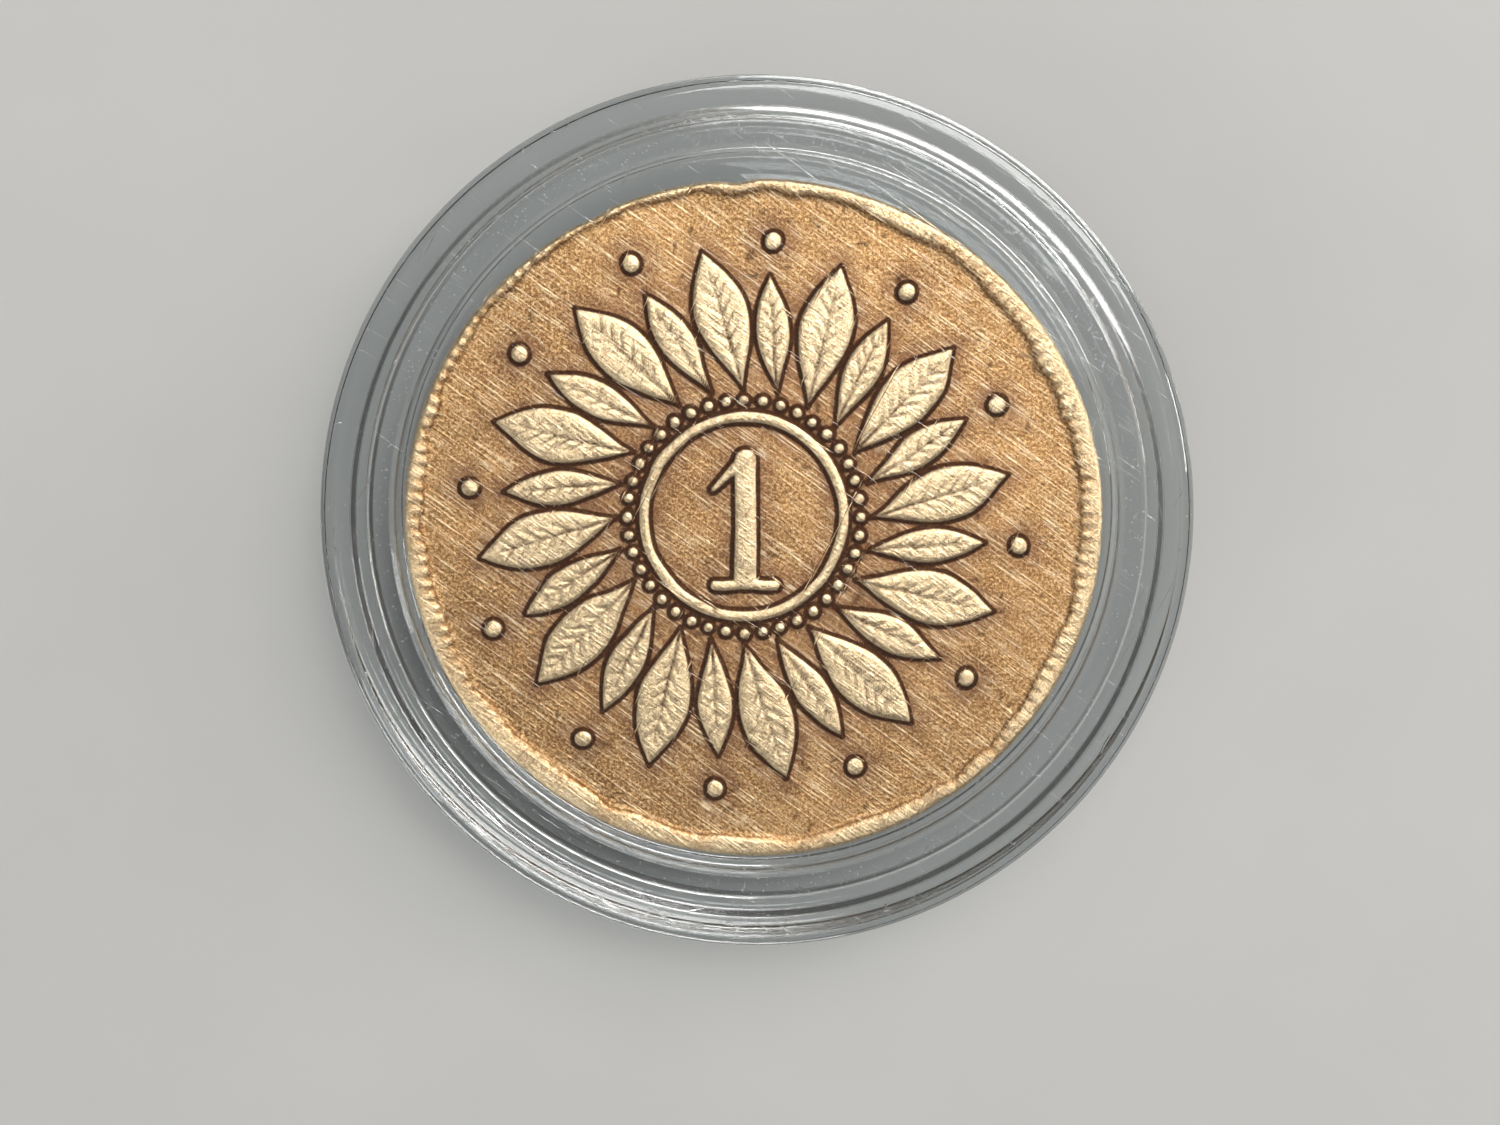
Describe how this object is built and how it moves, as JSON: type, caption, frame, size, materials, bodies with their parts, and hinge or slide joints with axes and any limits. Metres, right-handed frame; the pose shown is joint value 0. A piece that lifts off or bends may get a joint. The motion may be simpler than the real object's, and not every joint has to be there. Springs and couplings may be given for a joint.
{
  "type": "coin capsule",
  "caption": "Round clear two-part capsule with recessed windows that snaps together around a worn copper coin for storage and display.",
  "frame": {"origin": "centre of the rear face, in the plane that the capsule lies on", "axes": "+Z is the capsule's axis and points out of its front face; +Y is up when the capsule is shown on its edge; +X is to the viewer's right"},
  "size_m": [0.03, 0.03, 0.0054],
  "materials": {
    "clear_shell": "polished",
    "coin_copper": "satin"
  },
  "bodies": {
    "rear_shell": {"rear_shell": "clear_shell"},
    "coin": {"coin": "coin_copper"},
    "front_shell": {"front_shell": "clear_shell"}
  },
  "joints": [
    {"name": "coin_lift", "type": "slide", "parent": "rear_shell", "child": "coin", "axis": [0, 0, 1], "range_m": [0, 0.008]},
    {"name": "front_shell_pull", "type": "slide", "parent": "coin", "child": "front_shell", "axis": [0, 0, 1], "range_m": [0, 0.012]}
  ]
}
